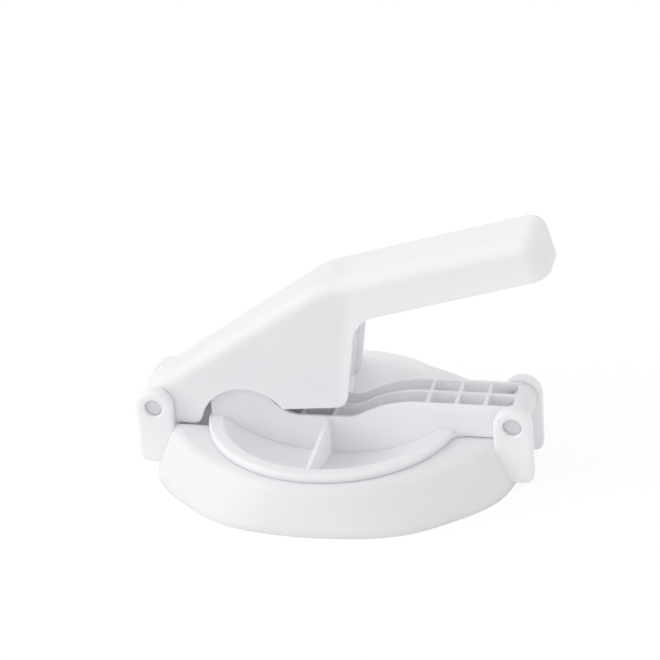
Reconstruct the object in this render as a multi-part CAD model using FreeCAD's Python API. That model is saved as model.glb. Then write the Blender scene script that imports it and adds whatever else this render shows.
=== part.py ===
import FreeCAD, Part
import math
import os
from FreeCAD import Vector

# Dumpling wrapper press in moulded plastic, in millimetres.
# X runs from the handle's hinge to the plate's hinge, Y runs away from the viewer, Z runs up.
# The origin is the centre of the face that the base stands on.

# Hinges
PIN_SPAN = 178.0             # from one hinge pin to the other
PIN_HEIGHT = 32.0            # pin axis above the table
PIN_RADIUS = 4.5
PIN_RECESS = 2.0             # how deep a pin's end lies inside its lug
PIN_CHAMFER = 0.5
LUG_FIT = 0.02               # radial gap of a pin pressed into a lug
RUNNING_FIT = 0.06           # radial gap of a bore that turns on a pin

# Lugs, the four ears of the base
LUG_RADIUS = 9.4
LUG_OUTER = 19.2             # half the width over a pair of lugs
LUG_THICKNESS = 6.0
LUG_FOOT = 1.5               # lower edge of a lug above the table
LUG_CORNER = 4.0
LUG_EDGE = 2.0               # rounding of a lug's outer edge
LUG_INNER_EDGE = 0.5
LUG_HOLE_CHAMFER = 0.7

# Base
BASE_HEIGHT = 22.0
BASE_WALL = 2.5
BASE_EDGE = 6.0              # rounding between the top and the flank
FLANK_WALL = 2.8             # wall of the sloping flank, measured level
# Outlines from the front's middle to the end: (radius, degrees turned), hollow where negative.
# The last stretch closes the outline on the long axis.
FOOT_HALF_DEPTH = 75.4
FOOT_ARCS = ((170.0, 10.0), (64.0, 28.0), (230.0, 6.0), (42.0, 31.0))
TOP_HALF_DEPTH = 66.7
TOP_ARCS = ((66.7, 31.0), (-35.0, -9.0), (75.0, 24.0), (90.0, 16.0))
QUARTER_POINTS = 8           # points that carry a quarter of the smooth outline
RIB_THICKNESS = 2.0
RIB_FOOT = 0.8               # ribs stop this far above the table
RADIAL_RIBS = 8
RING_RIBS = (30.0, 50.0)
HUB_RADIUS = 8.0             # the boss that rests on the table under the bowl

# Well in the base's top for the handle's heel
WELL_HALF_WIDTH = 15.0
WELL_DEPTH = 7.0             # below the base's top
WELL_END_DEPTH = 4.5         # between the lugs
WELL_END = -52.0             # the well runs out under the plate's rim

# Press plate: a shallow dish with a rim
PLATE_CENTRE = -1.5          # the dish's centre along X
DISH_DEPTH = 16.3            # from the rim's top to the dish's upper face at its centre
DISH_FLAT = 8.0              # radius of the flat middle
DISH_CURVE = 78.0            # radius of the dish's upper face
PLATE_WALL = 2.5
RIM_RADIUS = 62.5
RIM_THICKNESS = 3.7
RIM_EDGE = 1.6
SEAT_GAP = 0.3               # rim above the base's top
DOUGH_GAP = 1.2              # room for the dough between plate and base

# Spine beam on the press plate
BEAM_HALF_WIDTH = 12.7
BEAM_WALL = 1.7
BEAM_CHEEK_GAP = 0.5         # between the beam and the handle's cheeks, where both are narrow
BEAM_LEFT = -61.5
BEAM_GAP = 0.8               # underside outside the dish above the base's top
BEAM_FLOOR_WALL = 2.4
BEAM_ROOT = 57.0             # the floor runs into the rim from here on
BEAM_TOP = 39.5
BEAM_DIP = 29.5
BEAM_HUMP = 45.0
# Corners of the beam's upper edge between its two ends: (x, z, rounding)
BEAM_CREST = (
    (-61.5, BEAM_HUMP, 5.0),
    (-38.0, BEAM_HUMP, 12.0),
    (-23.5, BEAM_DIP, 16.0),
    (10.6, BEAM_DIP, 16.0),
    (28.0, BEAM_TOP, 57.0),
)
RUNG_PITCH = 14.1
RUNG_END = 89.0              # the last rung, over the plate's hinge pin
RUNGS_RIGHT = 4
RUNG_MIDDLE = 0.0
RUNG_LEFT_PITCH = 15.6
RUNGS_LEFT = 4
RUNG_DROP = 0.4              # rungs lie a little below the walls' edges
KNUCKLE_RADIUS = 7.2
KNUCKLE_PLAY = 0.2           # between the knuckle's faces and the lugs
GUSSET_THICKNESS = 1.8
GUSSET_PLACE = -2.5          # the gussets' middle along X
GUSSET_TOP = 28.2
GUSSET_REACH = 61.0
FLARE_RADIUS = 6.0           # hollow rounding between the rim and the beam's side

# Handle: an upturned channel over the beam
HANDLE_WALL = 2.5
HANDLE_END_RADIUS = 9.3      # round end about the pin
HANDLE_SLOPE = 34.5          # degrees, the arm's back
GRIP_SLOPE = 16.0            # degrees, the grip's back and underside
GRIP_END = (108.4, 111.3)    # the grip's lowest corner, X and Z
GRIP_DEPTH = 21.8
BEND_RADIUS = 45.0
HANDLE_EDGE = 7.0            # rounding between the back and the cheeks
GRIP_END_EDGE = 9.0          # rounding of the grip's two end corners
CHEEK_NARROW = (-80.0, 12.9)     # X and half width beside the lugs
CHEEK_WIDE = (12.0, 17.2)        # X and half width from the foot to the grip's end
CHEEK_BLEND = 400.0
ARCH_CENTRE = (-43.0, 19.6)
ARCH_RADIUS = 23.7
FOOT_LEFT = (-28.0, 33.3)
FOOT_RIGHT = (8.5, 37.6)
FOOT_ROUND = 7.0
HEEL_BOTTOM = 22.0
HEEL_ROUND = 5.0             # rounding between the heel's bottom and the arch
THROAT_ROUND = 16.0          # under the grip, where it leaves the cheeks
CHEEK_FRONT_SLOPE = 82.0     # degrees, the cheeks' front edge
HANDLE_REAR = 14.0           # the raw form runs this far behind the pin before it is rounded

# Ribs inside the handle
FRONT_WALL = 2.5             # closes the channel behind the cheeks' front edges
FRONT_WALL_RECESS = 2.5
FRONT_WALL_LOW = 41.0        # its lower edge
SPINE_THICKNESS = 2.5
NOSE_GAP = 0.3               # between the middle rib's nose and the beam
NOSE_LEFT = -14.0
NOSE_RIGHT = -3.0
NOSE_ROUND = 4.0
# Lower edge of the middle rib up to its nose and from the nose to the grip: (x, z, rounding)
SPINE_BEHIND_NOSE = (
    (-86.0, 34.0, 0.0),
    (-64.0, 54.0, 20.0),
    (-30.0, 60.0, 12.0),
)
SPINE_AHEAD_OF_NOSE = (
    (7.0, 46.0, 14.0),
)
# Body ribs: (x, height of the lower edge)
BODY_RIBS = (
    (-62.0, 60.0),
    (-46.0, 62.0),
    (-30.0, 62.0),
    (-14.0, 62.0),
    (2.0, 64.0),
)
GRIP_RIB_FIRST = 22.0        # first grip rib from the grip's end, along the grip
GRIP_RIB_PITCH = 19.0
GRIP_RIBS = 5
GRIP_RIB_INSET = 2.5         # grip ribs end this far inside the channel

LEFT_PIN = -PIN_SPAN / 2
RIGHT_PIN = PIN_SPAN / 2
LUG_INNER = LUG_OUTER - LUG_THICKNESS
WELL_FLOOR = BASE_HEIGHT - WELL_DEPTH
WELL_END_FLOOR = BASE_HEIGHT - WELL_END_DEPTH
RIM_TOP = BASE_HEIGHT + SEAT_GAP + RIM_THICKNESS
DISH_FLOOR = RIM_TOP - DISH_DEPTH
BEAM_FLOOR = BASE_HEIGHT + BEAM_GAP
GRIP_LOW = Vector(GRIP_END[0], 0, GRIP_END[1])
FAR = 400.0                  # past every edge of the part
OVERLAP = 1.0                # cutting forms overlap by this much
LEVEL_TOLERANCE = 1e-4       # edges this close to a plane count as lying in it
UP = Vector(0, 0, 1)
ACROSS = Vector(0, 1, 0)


def turn(angle):
    """Unit vector in the XZ plane at this many degrees above X."""
    return Vector(math.cos(math.radians(angle)), 0, math.sin(math.radians(angle)))


def on_circle(heading):
    """Unit vector in the XY plane from a circle's hub to where its outline has this heading."""
    angle = math.radians(heading)
    return Vector(math.sin(angle), -math.cos(angle), 0)


def meet(a, direction_a, b, direction_b):
    """Point in the XZ plane where two lines cross."""
    cross = direction_a.x * direction_b.z - direction_a.z * direction_b.x
    step = ((b.x - a.x) * direction_b.z - (b.z - a.z) * direction_b.x) / cross
    return a + direction_a * step


def rounded_wire(corners):
    """Closed wire through (point, radius) corners, each rounded by its own radius."""
    count = len(corners)
    starts, ends, middles = [], [], []
    for index, (corner, radius) in enumerate(corners):
        back = (corners[index - 1][0] - corner).normalize()
        ahead = (corners[(index + 1) % count][0] - corner).normalize()
        half = back.getAngle(ahead) / 2
        reach = radius / math.tan(half)
        bisector = (back + ahead).normalize()
        starts.append(corner + back * reach)
        ends.append(corner + ahead * reach)
        middles.append(corner + bisector * (radius / math.sin(half) - radius))
    edges = []
    for index, (corner, radius) in enumerate(corners):
        if radius > 0:
            edges.append(Part.Arc(starts[index], middles[index], ends[index]).toShape())
        following = starts[(index + 1) % count]
        if (following - ends[index]).Length > LEVEL_TOLERANCE:
            edges.append(Part.LineSegment(ends[index], following).toShape())
    return Part.Wire(edges)


def side_plate(corners, low_y, high_y):
    """Plate between two Y values from (x, z, radius) corners."""
    wire = rounded_wire([(Vector(x, low_y, z), radius) for x, z, radius in corners])
    return Part.Face(wire).extrude(ACROSS * (high_y - low_y))


def box(low, high):
    """Box between two corners."""
    size = [b - a for a, b in zip(low, high)]
    return Part.makeBox(*size, Vector(*low))


def cylinder_along_y(x, z, radius, half_length):
    """Cylinder across the part, centred on Y = 0."""
    return Part.makeCylinder(radius, 2 * half_length, Vector(x, -half_length, z), ACROSS)


def ring(inner, outer, low, high, centre=PLATE_CENTRE):
    """Upright ring about the plate's centre."""
    foot = Vector(centre, 0, low)
    tube = Part.makeCylinder(outer, high - low, foot)
    if inner > 0:
        tube = tube.cut(Part.makeCylinder(inner, high - low, foot))
    return tube


def mirrored(shape, normal):
    """The shape with its mirror image."""
    return shape.fuse(shape.mirror(Vector(0, 0, 0), normal))


def outline_points(half_depth, arcs, inset):
    """Evenly spaced points along the arcs all round, from the middle of the far side."""
    place = Vector(0, inset - half_depth, 0)
    heading = 0.0
    stretches = []
    for radius, degrees in arcs + ((None, None),):
        if radius is None:
            degrees = 90.0 - heading
            radius = -place.y / math.cos(math.radians(heading))
        else:
            radius -= inset
        hub = place + on_circle(heading) * -radius
        stretches.append((hub, radius, heading, degrees, math.radians(degrees) * radius))
        heading += degrees
        place = hub + on_circle(heading) * radius
    spacing = sum(length for *_, length in stretches) / QUARTER_POINTS
    quarter = []
    passed = 0.0
    for hub, radius, heading, degrees, length in stretches:
        while len(quarter) < QUARTER_POINTS and len(quarter) * spacing < passed + length:
            share = (len(quarter) * spacing - passed) / length
            quarter.append(hub + on_circle(heading + degrees * share) * radius)
        passed += length
    end = Vector(place.x, 0, 0)
    near_half = quarter + [end] + [Vector(point.x, -point.y, 0) for point in reversed(quarter[1:])]
    far_half = [Vector(-point.x, -point.y, 0) for point in near_half]
    return far_half + near_half


def outline(half_depth, arcs, inset, height):
    """Closed smooth outline of the base at one height, the same in all four quarters."""
    points = outline_points(half_depth, arcs, inset)
    lift = Vector(0, 0, height)
    curve = Part.BSplineCurve()
    curve.interpolate(
        Points=[point + lift for point in points],
        PeriodicFlag=True,
        Parameters=list(range(len(points) + 1)),
    )
    return Part.Wire(curve.toShape())


def base_form(inset):
    """The base's outer form, or that form drawn in for its hollow."""
    foot = outline(FOOT_HALF_DEPTH, FOOT_ARCS, inset, 0.0)
    top = outline(TOP_HALF_DEPTH, TOP_ARCS, inset, BASE_HEIGHT)
    return Part.makeLoft([foot, top], True, True)


def edges_at_height(shape, height):
    """Edges that lie level at this height."""
    found = []
    for edge in shape.Edges:
        bounds = edge.BoundBox
        if max(abs(bounds.ZMin - height), abs(bounds.ZMax - height)) < LEVEL_TOLERANCE:
            found.append(edge)
    return found


def edges_across(shape, y):
    """Edges that lie in the plane at this Y."""
    found = []
    for edge in shape.Edges:
        bounds = edge.BoundBox
        if max(abs(bounds.YMin - y), abs(bounds.YMax - y)) < LEVEL_TOLERANCE:
            found.append(edge)
    return found


def dish_arc(offset, top):
    """Points of the dish's curve, offset below its upper face and ended at a height."""
    hub = Vector(DISH_FLAT, 0, DISH_FLOOR + DISH_CURVE)
    radius = DISH_CURVE + offset
    sweep = math.acos((hub.z - top) / radius)
    points = []
    for share in (0.0, 0.5, 1.0):
        angle = sweep * share
        points.append(hub + Vector(math.sin(angle), 0, -math.cos(angle)) * radius)
    return points


def turned(edges, centre=PLATE_CENTRE):
    """Solid turned about the upright axis through the dish's centre."""
    solid = Part.Face(Part.Wire(edges)).revolve(Vector(0, 0, 0), UP, 360)
    solid.translate(Vector(centre, 0, 0))
    return solid


def dish_body(offset, top):
    """Solid below a level face and above the dish's curve."""
    start, middle, end = dish_arc(offset, top)
    axis_low = Vector(0, 0, start.z)
    axis_high = Vector(0, 0, top)
    return turned([
        Part.LineSegment(axis_low, start).toShape(),
        Part.Arc(start, middle, end).toShape(),
        Part.LineSegment(end, axis_high).toShape(),
        Part.LineSegment(axis_high, axis_low).toShape(),
    ])


def lug(pin_x):
    """One ear on the near side, with its rounded edges and its pin hole."""
    low_z, high_z = LUG_FOOT, PIN_HEIGHT + LUG_RADIUS
    corners = (
        (pin_x - LUG_RADIUS, low_z, LUG_CORNER),
        (pin_x + LUG_RADIUS, low_z, LUG_CORNER),
        (pin_x + LUG_RADIUS, high_z, LUG_RADIUS),
        (pin_x - LUG_RADIUS, high_z, LUG_RADIUS),
    )
    plate = side_plate(corners, -LUG_OUTER, -LUG_INNER)
    plate = plate.makeFillet(LUG_EDGE, edges_across(plate, -LUG_OUTER))
    plate = plate.makeFillet(LUG_INNER_EDGE, edges_across(plate, -LUG_INNER))
    hole = cylinder_along_y(pin_x, PIN_HEIGHT, PIN_RADIUS + LUG_FIT, LUG_OUTER)
    plate = plate.cut(hole)
    top_of_hole = PIN_HEIGHT + PIN_RADIUS + LUG_FIT + LEVEL_TOLERANCE
    mouth = [edge for edge in edges_across(plate, -LUG_OUTER) if edge.BoundBox.ZMax < top_of_hole]
    mouth = [edge for edge in mouth if edge.BoundBox.ZMin > PIN_HEIGHT - PIN_RADIUS * 2]
    return plate.makeChamfer(LUG_HOLE_CHAMFER, mouth)


def under_ribs():
    """Raw ribs under the base's top: radial plates, rings and the boss that reaches the table."""
    centre = Vector(PLATE_CENTRE, 0, 0)
    rib_top = BASE_HEIGHT - BASE_WALL / 2
    half = RIB_THICKNESS / 2
    ribs = []
    for index in range(RADIAL_RIBS // 2):
        plate = box((-FAR, -half, RIB_FOOT), (FAR, half, rib_top))
        plate.rotate(Vector(0, 0, 0), UP, (index + 0.5) * 360.0 / RADIAL_RIBS)
        plate.translate(centre)
        ribs.append(plate)
    for radius in RING_RIBS:
        ribs.append(ring(radius - half, radius + half, RIB_FOOT, rib_top))
    ribs.append(Part.makeCylinder(HUB_RADIUS, rib_top, centre))
    return ribs[0].multiFuse(ribs[1:])


def well_box(wall):
    """Space of the heel's well, grown by a wall where it is the solid around it."""
    heel_side = box(
        (LEFT_PIN + LUG_RADIUS - wall, -WELL_HALF_WIDTH - wall, WELL_FLOOR - wall),
        (WELL_END + wall, WELL_HALF_WIDTH + wall, BASE_HEIGHT + OVERLAP),
    )
    end_side = box(
        (LEFT_PIN - LUG_RADIUS, -LUG_INNER - wall, WELL_END_FLOOR - wall),
        (LEFT_PIN + LUG_RADIUS + OVERLAP, LUG_INNER + wall, BASE_HEIGHT + OVERLAP),
    )
    return heel_side.fuse(end_side)


def make_base():
    """Base shell with its bowl, its underside ribs, the heel's well and four lugs."""
    bowl_offset = PLATE_WALL + DOUGH_GAP
    form = base_form(0.0)
    form = form.makeFillet(BASE_EDGE, edges_at_height(form, BASE_HEIGHT))
    hollow = base_form(FLANK_WALL)
    hollow = hollow.cut(box((-FAR, -FAR, BASE_HEIGHT - BASE_WALL), (FAR, FAR, FAR)))
    hollow = hollow.cut(dish_body(bowl_offset + BASE_WALL, BASE_HEIGHT))
    hollow = hollow.cut(well_box(BASE_WALL))
    base = form.cut(hollow)
    base = base.fuse(under_ribs().common(base_form(FLANK_WALL / 2)))
    base = base.fuse(mirrored(lug(LEFT_PIN).fuse(lug(RIGHT_PIN)), ACROSS))
    base = base.cut(dish_body(bowl_offset, BASE_HEIGHT + SEAT_GAP))
    base = base.cut(well_box(0.0))
    for pin_x in (LEFT_PIN, RIGHT_PIN):
        base = base.cut(cylinder_along_y(pin_x, PIN_HEIGHT, PIN_RADIUS + LUG_FIT, LUG_OUTER))
    return base


def beam_corners(bottom, drop):
    """Side outline of the beam from a bottom height, with its crest lowered by a drop."""
    crest = [(x, z - drop, radius) for x, z, radius in BEAM_CREST]
    return [(BEAM_LEFT, bottom, 0.0)] + crest + [
        (RIGHT_PIN, BEAM_TOP - drop, 0.0),
        (RIGHT_PIN, bottom, 0.0),
    ]


def cheek_half_width(x):
    """Half width over the handle's cheeks where they are narrow."""
    narrow_x, narrow = CHEEK_NARROW
    wide_x, wide = CHEEK_WIDE
    return narrow + (wide - narrow) / (wide_x - narrow_x) * (x - narrow_x)


def beam_plan(inset):
    """Tall prism of the beam's plan, drawn in by an inset: narrower between the narrow cheeks."""
    clearance = HANDLE_WALL + BEAM_CHEEK_GAP
    left_half = min(cheek_half_width(BEAM_LEFT) - clearance, BEAM_HALF_WIDTH)
    rise = (cheek_half_width(0.0) - cheek_half_width(BEAM_LEFT)) / -BEAM_LEFT
    taper_end = BEAM_LEFT + (BEAM_HALF_WIDTH - left_half) / rise
    near_side = [
        Vector(BEAM_LEFT, inset - left_half, -FAR),
        Vector(taper_end, inset - BEAM_HALF_WIDTH, -FAR),
        Vector(RIGHT_PIN, inset - BEAM_HALF_WIDTH, -FAR),
    ]
    far_side = [Vector(point.x, -point.y, point.z) for point in reversed(near_side)]
    points = near_side + far_side
    return Part.Face(Part.makePolygon(points + points[:1])).extrude(UP * 2 * FAR)


def rim_flare():
    """Web that rounds the corner between the rim and the beam's near side."""
    hub_y = -BEAM_HALF_WIDTH - FLARE_RADIUS
    reach = RIM_RADIUS + FLARE_RADIUS
    centre = Vector(PLATE_CENTRE, 0, BASE_HEIGHT + SEAT_GAP)
    hub = centre + Vector(math.sqrt(reach ** 2 - hub_y ** 2), hub_y, 0)
    on_rim = centre + (hub - centre) * (RIM_RADIUS / reach)
    on_beam = Vector(hub.x, -BEAM_HALF_WIDTH, hub.z)
    middle = hub + ((on_rim + on_beam) * 0.5 - hub).normalize() * FLARE_RADIUS
    inner = Vector(on_rim.x - FLARE_RADIUS / 2, -BEAM_HALF_WIDTH + BEAM_WALL / 2, hub.z)
    back = Vector(on_beam.x, inner.y, hub.z)
    wire = Part.Wire([
        Part.Arc(on_rim, middle, on_beam).toShape(),
        Part.LineSegment(on_beam, back).toShape(),
        Part.LineSegment(back, inner).toShape(),
        Part.LineSegment(inner, on_rim).toShape(),
    ])
    return Part.Face(wire).extrude(UP * (RIM_TOP - RIM_EDGE - hub.z))


def knuckle():
    """Hinge knuckle: closed behind the last rung and open in the beam's last two cells."""
    barrel = cylinder_along_y(RIGHT_PIN, PIN_HEIGHT, KNUCKLE_RADIUS, LUG_INNER - KNUCKLE_PLAY)
    half_wall = BEAM_WALL / 2
    cell = box(
        (RIGHT_PIN - KNUCKLE_RADIUS - OVERLAP, half_wall, BEAM_FLOOR + BEAM_FLOOR_WALL),
        (RUNG_END - half_wall, BEAM_HALF_WIDTH - BEAM_WALL, FAR),
    )
    return barrel.cut(mirrored(cell, ACROSS))


def make_press_plate():
    """Press plate: dish and rim, spine beam with walls and rungs, gussets and hinge knuckle."""
    low_start, low_middle, low_end = dish_arc(PLATE_WALL, BASE_HEIGHT + SEAT_GAP)
    high_start, high_middle, high_end = dish_arc(0.0, RIM_TOP)
    rim_low = Vector(RIM_RADIUS, 0, BASE_HEIGHT + SEAT_GAP)
    rim_high = Vector(RIM_RADIUS, 0, RIM_TOP)
    axis_low = Vector(0, 0, low_start.z)
    axis_high = Vector(0, 0, high_start.z)
    dish = turned([
        Part.LineSegment(axis_low, low_start).toShape(),
        Part.Arc(low_start, low_middle, low_end).toShape(),
        Part.LineSegment(low_end, rim_low).toShape(),
        Part.LineSegment(rim_low, rim_high).toShape(),
        Part.LineSegment(rim_high, high_end).toShape(),
        Part.Arc(high_end, high_middle, high_start).toShape(),
        Part.LineSegment(high_start, axis_high).toShape(),
        Part.LineSegment(axis_high, axis_low).toShape(),
    ])
    dish = dish.makeFillet(RIM_EDGE, edges_at_height(dish, RIM_TOP))

    half_wall = BEAM_WALL / 2
    plan = beam_plan(0.0)
    form = side_plate(beam_corners(DISH_FLOOR, 0.0), -FAR, FAR).common(plan)
    middle = box((-FAR, -half_wall, -FAR), (FAR, half_wall, FAR))
    walls = [form.cut(beam_plan(BEAM_WALL)), form.common(middle)]
    whole = side_plate(beam_corners(DISH_FLOOR, RUNG_DROP), -FAR, FAR).common(plan)
    rung_places = [BEAM_LEFT + half_wall]
    rung_places += [RUNG_END - index * RUNG_PITCH for index in range(RUNGS_RIGHT)]
    rung_places += [RUNG_MIDDLE - index * RUNG_LEFT_PITCH for index in range(RUNGS_LEFT)]
    for place in rung_places:
        slab = box((place - half_wall, -FAR, -FAR), (place + half_wall, FAR, FAR))
        walls.append(whole.common(slab))
    beam = walls[0].multiFuse(walls[1:])

    above_dish = dish_body(PLATE_WALL / 2, RIM_TOP)
    above_dish = above_dish.fuse(ring(0.0, RIM_RADIUS, RIM_TOP, FAR))
    outside = box((BEAM_ROOT, -BEAM_HALF_WIDTH, BEAM_FLOOR), (RIGHT_PIN, BEAM_HALF_WIDTH, FAR))
    beam = beam.common(above_dish.fuse(outside))
    floor = box(
        (BEAM_ROOT, -BEAM_HALF_WIDTH, BEAM_FLOOR),
        (RIGHT_PIN, BEAM_HALF_WIDTH, BEAM_FLOOR + BEAM_FLOOR_WALL),
    )

    gusset_line = [
        (BEAM_HALF_WIDTH - half_wall, DISH_FLOOR),
        (BEAM_HALF_WIDTH - half_wall, GUSSET_TOP),
        (GUSSET_REACH, RIM_TOP),
        (GUSSET_REACH, DISH_FLOOR),
    ]
    points = [Vector(GUSSET_PLACE - GUSSET_THICKNESS / 2, y, z) for y, z in gusset_line]
    gusset = Part.Face(Part.makePolygon(points + points[:1])).extrude(Vector(GUSSET_THICKNESS, 0, 0))
    gusset = mirrored(gusset, ACROSS).common(above_dish)

    plate = dish.multiFuse([beam, floor, gusset, mirrored(rim_flare(), ACROSS), knuckle()])
    plate = plate.cut(cylinder_along_y(RIGHT_PIN, PIN_HEIGHT, PIN_RADIUS + RUNNING_FIT, FAR / 2))
    return plate.removeSplitter()


def handle_back(inset):
    """Side corners of the handle's back, rear to grip end, drawn in by an inset."""
    pin = Vector(LEFT_PIN, 0, PIN_HEIGHT)
    tangent = pin + turn(HANDLE_SLOPE + 90) * (HANDLE_END_RADIUS - inset)
    end = GRIP_LOW - turn(GRIP_SLOPE) * inset + turn(GRIP_SLOPE + 90) * (GRIP_DEPTH - inset)
    rear = meet(tangent, turn(HANDLE_SLOPE), pin - turn(0) * HANDLE_REAR, turn(90))
    bend = meet(tangent, turn(HANDLE_SLOPE), end, turn(GRIP_SLOPE))
    return rear, bend, end


def cheek_plan(inset):
    """Tall prism of the handle's plan: narrow at the hinge, wide from the foot on."""
    wide_x, wide = CHEEK_WIDE
    rear_x = LEFT_PIN - 2 * HANDLE_REAR
    rear_half = cheek_half_width(rear_x) - inset
    near_side = [
        (Vector(rear_x, -rear_half, -FAR), 0.0),
        (Vector(wide_x, inset - wide, -FAR), CHEEK_BLEND),
        (Vector(FAR, inset - wide, -FAR), 0.0),
    ]
    far_side = [(Vector(point.x, -point.y, point.z), radius) for point, radius in reversed(near_side)]
    return Part.Face(rounded_wire(near_side + far_side)).extrude(UP * 2 * FAR)


def nearest_edge(shape, point):
    """The edge that passes closest to a point."""
    vertex = Part.Vertex(point)
    return min(shape.Edges, key=lambda edge: edge.distToShape(vertex)[0])


def handle_form(lower_corners, inset):
    """Handle form over its lower corners: tapered in plan, rounded along its back and end."""
    rear, bend, end = handle_back(inset)
    back = [
        (rear.x, rear.z, 0.0),
        (bend.x, bend.z, BEND_RADIUS - inset),
        (end.x, end.z, 0.0),
    ]
    form = side_plate(back + lower_corners, -FAR, FAR).common(cheek_plan(inset))
    half = CHEEK_WIDE[1] - inset
    on_end = end - turn(GRIP_SLOPE + 90) * (GRIP_DEPTH / 2)
    end_corners = [nearest_edge(form, on_end + ACROSS * side) for side in (-half, half)]
    form = form.makeFillet(GRIP_END_EDGE - inset, end_corners)
    on_back = (bend + end) * 0.5
    back_edge = nearest_edge(form, on_back + ACROSS * half)
    return form.makeFillet(HANDLE_EDGE - inset, [back_edge])


def handle_outside():
    """The handle's outer form, round about its pin, with the arch cut from its cheeks."""
    foot_right = Vector(FOOT_RIGHT[0], 0, FOOT_RIGHT[1])
    throat = meet(foot_right, turn(CHEEK_FRONT_SLOPE), GRIP_LOW, turn(GRIP_SLOPE))
    form = handle_form([
        (GRIP_LOW.x, GRIP_LOW.z, 0.0),
        (throat.x, throat.z, THROAT_ROUND),
        (foot_right.x, foot_right.z, FOOT_ROUND),
        (FOOT_LEFT[0], FOOT_LEFT[1], 0.0),
        (ARCH_CENTRE[0], HEEL_BOTTOM, 0.0),
        (LEFT_PIN - HANDLE_REAR, HEEL_BOTTOM, 0.0),
    ], 0.0)
    over_pin = Vector(LEFT_PIN, 0, PIN_HEIGHT) + turn(HANDLE_SLOPE + 90) * FAR
    ahead_of_pin = side_plate([
        (LEFT_PIN, PIN_HEIGHT, 0.0),
        (over_pin.x, over_pin.z, 0.0),
        (FAR, over_pin.z, 0.0),
        (FAR, HEEL_BOTTOM, 0.0),
        (LEFT_PIN, HEEL_BOTTOM, 0.0),
    ], -FAR, FAR)
    round_end = cylinder_along_y(LEFT_PIN, PIN_HEIGHT, HANDLE_END_RADIUS, FAR)
    form = form.common(ahead_of_pin.fuse(round_end))
    form = form.cut(cylinder_along_y(ARCH_CENTRE[0], ARCH_CENTRE[1], ARCH_RADIUS, FAR))
    heel_x = ARCH_CENTRE[0] - math.sqrt(ARCH_RADIUS ** 2 - (HEEL_BOTTOM - ARCH_CENTRE[1]) ** 2)
    corner = nearest_edge(form, Vector(heel_x, 0, HEEL_BOTTOM))
    return form.makeFillet(HEEL_ROUND, [corner])


def handle_cavity():
    """Space inside the handle, open downwards."""
    rear, bend, end = handle_back(HANDLE_WALL)
    low_end = end - turn(GRIP_SLOPE + 90) * FAR
    space = handle_form([
        (low_end.x, low_end.z, 0.0),
        (rear.x, low_end.z, 0.0),
    ], HANDLE_WALL)
    return space.cut(cylinder_along_y(LEFT_PIN, PIN_HEIGHT, HANDLE_END_RADIUS, FAR))


def handle_ribs():
    """Raw ribs inside the handle: the middle rib with its nose, body ribs and grip ribs."""
    along = turn(GRIP_SLOPE)
    upward = turn(GRIP_SLOPE + 90)
    inner_low = GRIP_LOW + upward * GRIP_RIB_INSET
    front = Vector(FOOT_RIGHT[0], 0, FOOT_RIGHT[1])
    throat = meet(front, turn(CHEEK_FRONT_SLOPE), inner_low, along)
    nose_low = BEAM_DIP + NOSE_GAP
    grip_end = inner_low + along * GRIP_DEPTH
    spine = side_plate(list(SPINE_BEHIND_NOSE) + [
        (NOSE_LEFT, nose_low, NOSE_ROUND),
        (NOSE_RIGHT, nose_low, NOSE_ROUND),
    ] + list(SPINE_AHEAD_OF_NOSE) + [
        (throat.x, throat.z, THROAT_ROUND),
        (grip_end.x, grip_end.z, 0.0),
        (grip_end.x, FAR, 0.0),
        (SPINE_BEHIND_NOSE[0][0], FAR, 0.0),
    ], -SPINE_THICKNESS / 2, SPINE_THICKNESS / 2)
    front_low = front + turn(CHEEK_FRONT_SLOPE) * (FRONT_WALL_LOW - front.z)
    front_low += turn(CHEEK_FRONT_SLOPE + 90) * FRONT_WALL_RECESS
    behind = front_low + turn(CHEEK_FRONT_SLOPE + 90) * FRONT_WALL
    rise = turn(CHEEK_FRONT_SLOPE) * FAR
    wall = [front_low, front_low + rise, behind + rise, behind]
    ribs = [spine, side_plate([(corner.x, corner.z, 0.0) for corner in wall], -FAR, FAR)]
    for place, low in BODY_RIBS:
        half = SPINE_THICKNESS / 2
        ribs.append(box((place - half, -FAR, low), (place + half, FAR, FAR)))
    for index in range(GRIP_RIBS):
        foot = inner_low - along * (GRIP_RIB_FIRST + index * GRIP_RIB_PITCH)
        corners = (
            foot,
            foot + along * SPINE_THICKNESS,
            foot + along * SPINE_THICKNESS + upward * GRIP_DEPTH,
            foot + upward * GRIP_DEPTH,
        )
        ribs.append(side_plate([(corner.x, corner.z, 0.0) for corner in corners], -FAR, FAR))
    return ribs


def make_lever_handle():
    """Lever handle: an upturned channel, round about its pin, with ribs inside."""
    outside = handle_outside()
    space = handle_cavity()
    handle = outside.cut(space)
    for rib in handle_ribs():
        handle = handle.fuse(rib.common(space).common(outside))
    bore = cylinder_along_y(LEFT_PIN, PIN_HEIGHT, PIN_RADIUS + RUNNING_FIT, FAR)
    return handle.cut(bore).removeSplitter()


def make_pin(pin_x):
    """Plain hinge pin with chamfered ends."""
    pin = cylinder_along_y(pin_x, PIN_HEIGHT, PIN_RADIUS, LUG_OUTER - PIN_RECESS)
    rims = [edge for edge in pin.Edges if edge.BoundBox.YLength < PIN_CHAMFER]
    return pin.makeChamfer(PIN_CHAMFER, rims)


PIECES = {
    "base": make_base,
    "press_plate": make_press_plate,
    "lever_handle": make_lever_handle,
    "handle_hinge_pin": lambda: make_pin(LEFT_PIN),
    "plate_hinge_pin": lambda: make_pin(RIGHT_PIN),
}

os.makedirs("parts", exist_ok=True)
for name, build in PIECES.items():
    build().exportStep(os.path.join("parts", name + ".step"))
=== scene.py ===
import bpy
import math
from mathutils import Matrix, Vector

# Dumpling wrapper press in white moulded plastic, in metres.

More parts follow.
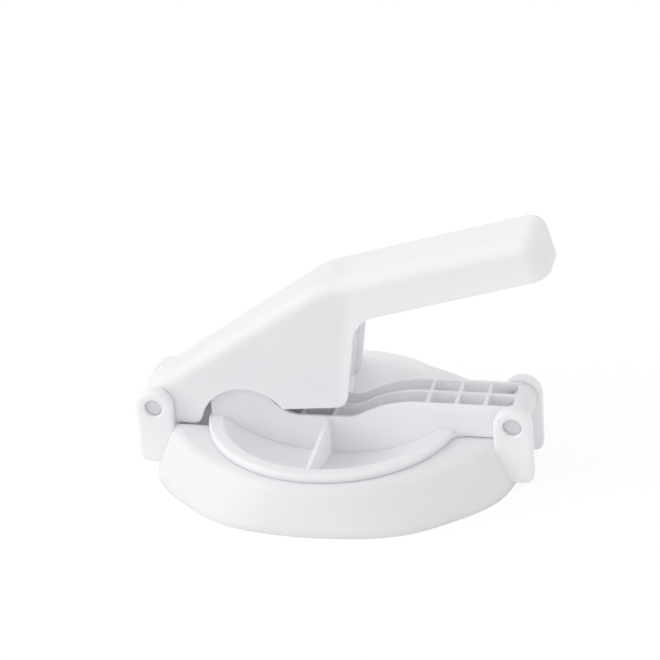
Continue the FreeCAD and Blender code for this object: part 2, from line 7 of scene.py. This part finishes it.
# Camera
CAMERA_PLACE = (0.2783, -1.0567, 0.6508)
CAMERA_RIGHT = (0.97306, 0.22034, -0.06761)
CAMERA_UP = (-0.04565, 0.47165, 0.88061)
CAMERA_LENS = 140.1
CAMERA_SENSOR = 36.0

# Light
AMBIENT = 0.805
BACKGROUND = 1.0
KEY_TOWARDS = (-0.85, -0.33, 0.43)
KEY_STRENGTH = 0.815
KEY_ANGLE = 45.0             # degrees, soft shadows
DIFFUSE_BOUNCES = 12         # white plastic lights its own hollows after many bounces
MOST_BOUNCES = 16
FLOOR_SIZE = 60.0
FLOOR_DROP = 0.0002
FLOOR_COLOUR = (0.95, 0.95, 0.95, 1.0)
FLOOR_WHITENESS = 0.8        # how far the floor is lifted to white where it is seen directly
FLOOR_GLOW = 1.04            # makes up for the floor's own share, which is a little under white

# Colours, linear: the darkest and the lightest clouds in each plastic
WHITE_PLASTIC = ((0.9, 0.895, 0.924), (0.922, 0.918, 0.942))
# The pins are the same white plastic; their grey is painted shade of the recessed lug holes
# they sit in
PIN_PLASTIC_PAINTED_SHADE = ((0.73, 0.73, 0.76), (0.78, 0.78, 0.80))
WHITE_ROUGHNESS = (0.34, 0.44)
PIN_ROUGHNESS = (0.38, 0.50)
WHITE_NODES = ("base", "press_plate", "lever_handle")
PIN_NODES = ("handle_hinge_pin", "plate_hinge_pin")

# Light that scatters inside the plastic
SCATTER_SHARE = 0.6
SCATTER_DEPTH = 0.005
SCATTER_COLOURS = (1.0, 0.95, 0.9)
PLASTIC_IOR = 1.49

# Patterns in the plastic, as repeats in a metre
CLOUD_SCALE = 28.0
HANDLING_SCALE = 90.0
GRAIN_SCALE = 2600.0
GRAIN_STRENGTH = 0.12
GRAIN_HEIGHT = 0.00008
PATTERN_LOW = 0.3            # noise value that gives a pattern's lowest tone
PATTERN_HIGH = 0.7


def link(tree, start, start_socket, end, end_socket):
    tree.links.new(start.outputs[start_socket], end.inputs[end_socket])


def noise(tree, coordinates, scale, detail, roughness=0.5):
    texture = tree.nodes.new("ShaderNodeTexNoise")
    texture.inputs["Scale"].default_value = scale
    texture.inputs["Detail"].default_value = detail
    texture.inputs["Roughness"].default_value = roughness
    link(tree, coordinates, "Object", texture, "Vector")
    return texture


def ranged(tree, texture, low, high):
    span = tree.nodes.new("ShaderNodeMapRange")
    span.inputs["From Min"].default_value = PATTERN_LOW
    span.inputs["From Max"].default_value = PATTERN_HIGH
    span.inputs["To Min"].default_value = low
    span.inputs["To Max"].default_value = high
    link(tree, texture, "Fac", span, "Value")
    return span


def moulded_plastic(name, colours, rough):
    """Satin moulded plastic: faint cloudiness, fine mould grain and a few handling marks."""
    material = bpy.data.materials.new(name)
    material.use_nodes = True
    tree = material.node_tree
    shader = tree.nodes["Principled BSDF"]
    coordinates = tree.nodes.new("ShaderNodeTexCoord")

    cloud = noise(tree, coordinates, CLOUD_SCALE, 3.0)
    ramp = tree.nodes.new("ShaderNodeValToRGB")
    ramp.color_ramp.elements[0].position = PATTERN_LOW
    ramp.color_ramp.elements[0].color = colours[0] + (1.0,)
    ramp.color_ramp.elements[1].position = PATTERN_HIGH
    ramp.color_ramp.elements[1].color = colours[1] + (1.0,)
    link(tree, cloud, "Fac", ramp, "Fac")
    link(tree, ramp, "Color", shader, "Base Color")

    handling = noise(tree, coordinates, HANDLING_SCALE, 6.0, 0.65)
    roughness = ranged(tree, handling, rough[0], rough[1])
    link(tree, roughness, "Result", shader, "Roughness")

    grain = noise(tree, coordinates, GRAIN_SCALE, 2.0)
    bump = tree.nodes.new("ShaderNodeBump")
    bump.inputs["Strength"].default_value = GRAIN_STRENGTH
    bump.inputs["Distance"].default_value = GRAIN_HEIGHT
    link(tree, grain, "Fac", bump, "Height")
    link(tree, bump, "Normal", shader, "Normal")

    shader.inputs["IOR"].default_value = PLASTIC_IOR
    shader.inputs["Subsurface Weight"].default_value = SCATTER_SHARE
    shader.inputs["Subsurface Radius"].default_value = SCATTER_COLOURS
    shader.inputs["Subsurface Scale"].default_value = SCATTER_DEPTH
    return material


def seen_directly(tree):
    """One for camera, glossy and transmission rays, otherwise zero."""
    path = tree.nodes.new("ShaderNodeLightPath")
    total = None
    for ray in ("Is Camera Ray", "Is Glossy Ray", "Is Transmission Ray"):
        if total is None:
            total = (path, ray)
            continue
        add = tree.nodes.new("ShaderNodeMath")
        add.operation = "MAXIMUM"
        tree.links.new(total[0].outputs[total[1]], add.inputs[0])
        tree.links.new(path.outputs[ray], add.inputs[1])
        total = (add, "Value")
    return total


def make_world():
    world = bpy.data.worlds.new("studio")
    world.use_nodes = True
    tree = world.node_tree
    surface = tree.nodes["Background"]
    surface.inputs["Color"].default_value = (1.0, 1.0, 1.0, 1.0)
    strength = tree.nodes.new("ShaderNodeMapRange")
    strength.inputs["To Min"].default_value = AMBIENT
    strength.inputs["To Max"].default_value = BACKGROUND
    node, socket = seen_directly(tree)
    tree.links.new(node.outputs[socket], strength.inputs["Value"])
    tree.links.new(strength.outputs["Result"], surface.inputs["Strength"])
    bpy.context.scene.world = world


def make_floor():
    mesh = bpy.data.meshes.new("floor")
    half = FLOOR_SIZE / 2
    corners = [(-half, -half, -FLOOR_DROP), (half, -half, -FLOOR_DROP)]
    corners += [(half, half, -FLOOR_DROP), (-half, half, -FLOOR_DROP)]
    mesh.from_pydata(corners, [], [(0, 1, 2, 3)])
    floor = bpy.data.objects.new("floor", mesh)
    bpy.context.collection.objects.link(floor)
    material = bpy.data.materials.new("floor")
    material.use_nodes = True
    tree = material.node_tree
    tree.nodes.clear()
    diffuse = tree.nodes.new("ShaderNodeBsdfDiffuse")
    diffuse.inputs["Color"].default_value = FLOOR_COLOUR
    light = tree.nodes.new("ShaderNodeEmission")
    light.inputs["Color"].default_value = (1.0, 1.0, 1.0, 1.0)
    light.inputs["Strength"].default_value = FLOOR_GLOW
    share = tree.nodes.new("ShaderNodeMapRange")
    share.inputs["To Min"].default_value = 0.0
    share.inputs["To Max"].default_value = FLOOR_WHITENESS
    node, socket = seen_directly(tree)
    tree.links.new(node.outputs[socket], share.inputs["Value"])
    mix = tree.nodes.new("ShaderNodeMixShader")
    output = tree.nodes.new("ShaderNodeOutputMaterial")
    tree.links.new(share.outputs["Result"], mix.inputs[0])
    tree.links.new(diffuse.outputs[0], mix.inputs[1])
    tree.links.new(light.outputs[0], mix.inputs[2])
    tree.links.new(mix.outputs[0], output.inputs["Surface"])
    mesh.materials.append(material)


def make_key():
    lamp = bpy.data.lights.new("key", "SUN")
    lamp.energy = KEY_STRENGTH
    lamp.angle = math.radians(KEY_ANGLE)
    key = bpy.data.objects.new("key", lamp)
    key.rotation_euler = Vector(KEY_TOWARDS).to_track_quat("Z", "Y").to_euler()
    bpy.context.collection.objects.link(key)


def make_camera():
    lens = bpy.data.cameras.new("camera")
    lens.lens = CAMERA_LENS
    lens.sensor_width = CAMERA_SENSOR
    camera = bpy.data.objects.new("camera", lens)
    right = Vector(CAMERA_RIGHT).normalized()
    up = (Vector(CAMERA_UP) - right * right.dot(Vector(CAMERA_UP))).normalized()
    back = right.cross(up)
    axes = Matrix((right, up, back)).transposed().to_4x4()
    camera.matrix_world = Matrix.Translation(Vector(CAMERA_PLACE)) @ axes
    bpy.context.collection.objects.link(camera)
    bpy.context.scene.camera = camera


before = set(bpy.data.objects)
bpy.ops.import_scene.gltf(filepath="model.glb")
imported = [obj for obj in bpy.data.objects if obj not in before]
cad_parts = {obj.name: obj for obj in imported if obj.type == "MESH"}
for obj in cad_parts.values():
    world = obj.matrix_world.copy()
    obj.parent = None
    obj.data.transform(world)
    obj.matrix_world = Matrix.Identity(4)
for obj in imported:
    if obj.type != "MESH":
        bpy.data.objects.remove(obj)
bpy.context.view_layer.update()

white = moulded_plastic("white_plastic", WHITE_PLASTIC, WHITE_ROUGHNESS)
# Pin material: white plastic darkened with painted shade of the recessed lug holes
pin_painted_shade = moulded_plastic("pin_plastic", PIN_PLASTIC_PAINTED_SHADE, PIN_ROUGHNESS)
for names, material in ((WHITE_NODES, white), (PIN_NODES, pin_painted_shade)):
    for name in names:
        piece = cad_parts[name]
        piece.data.materials.clear()
        piece.data.materials.append(material)

make_world()
make_floor()
make_key()
make_camera()
scene = bpy.context.scene
scene.cycles.diffuse_bounces = DIFFUSE_BOUNCES
scene.cycles.max_bounces = MOST_BOUNCES
scene.view_settings.view_transform = "Standard"
